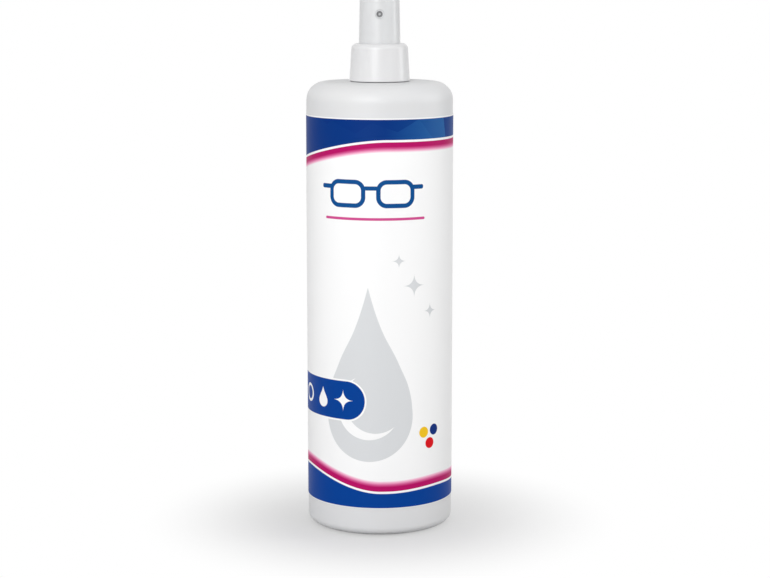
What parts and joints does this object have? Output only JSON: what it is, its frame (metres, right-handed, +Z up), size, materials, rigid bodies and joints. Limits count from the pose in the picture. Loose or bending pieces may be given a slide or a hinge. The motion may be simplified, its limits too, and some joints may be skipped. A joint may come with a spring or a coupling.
{
  "type": "lens cleaning spray",
  "caption": "Cylindrical plastic bottle of lens cleaner with a wrap-around label, a screw closure and a press-top fine mist pump.",
  "frame": {"origin": "centre of the foot ring, on the surface that the bottle stands on", "axes": "+Z up along the bottle's axis, -Y to the front, where the nozzle points at rest, +X to the right as seen from the front"},
  "size_m": [0.0502, 0.0502, 0.1825],
  "materials": {
    "bottle_polyethylene": "white blow-moulded polyethylene, satin",
    "label_film": "printed white film, glossy",
    "closure_polypropylene": "smooth white polypropylene",
    "actuator_polypropylene": "smooth white polypropylene",
    "nozzle_acetal": "white acetal",
    "gasket_foam": "white foam",
    "housing_polypropylene": "natural polypropylene",
    "inner_acetal": "white acetal",
    "piston_polyethylene": "natural polyethylene",
    "stainless_steel": "bright stainless steel",
    "tube_polyethylene": "natural polyethylene, milky"
  },
  "bodies": {
    "bottle_body": {"bottle": "bottle_polyethylene", "label": "label_film"},
    "pump_body": {"pump_housing": "housing_polypropylene", "stem_guide": "inner_acetal", "neck_gasket": "gasket_foam", "dip_tube": "tube_polyethylene", "return_spring": "stainless_steel"},
    "closure_body": {"closure": "closure_polypropylene"},
    "stem_body": {"stem": "inner_acetal", "valve_poppet": "inner_acetal"},
    "head_body": {"actuator": "actuator_polypropylene", "nozzle_insert": "nozzle_acetal"},
    "piston_body": {"piston": "piston_polyethylene"},
    "ball_body": {"check_ball": "stainless_steel"}
  },
  "joints": [
    {"name": "pump_lift", "type": "slide", "parent": "bottle_body", "child": "pump_body", "axis": [0, 0, 1], "range_m": [0, 0.00334]},
    {"name": "closure_turn", "type": "hinge", "parent": "pump_body", "child": "closure_body", "pos_m": [0, 0, 0.159], "axis": [0, 0, 1], "range_deg": [0, 400]},
    {"name": "spray_press", "type": "slide", "parent": "pump_body", "child": "stem_body", "axis": [0, 0, -1], "range_m": [0, 0.0035], "stiffness_N_per_m": 1200, "deforming": ["return_spring"]},
    {"name": "piston_slide", "type": "slide", "parent": "pump_body", "child": "piston_body", "axis": [0, 0, -1], "range_m": [0, 0.003]},
    {"name": "head_turn", "type": "hinge", "parent": "stem_body", "child": "head_body", "pos_m": [0, 0, 0.1759], "axis": [0, 0, 1], "continuous": true},
    {"name": "ball_lift", "type": "slide", "parent": "pump_body", "child": "ball_body", "axis": [0, 0, 1], "range_m": [0, 0.0008]}
  ],
  "couplings": [
    {"joint": "pump_lift", "follows": "closure_turn", "m_per_rad": 0.00047746},
    {"joint": "piston_slide", "follows": "spray_press", "ratio": 0.857}
  ]
}
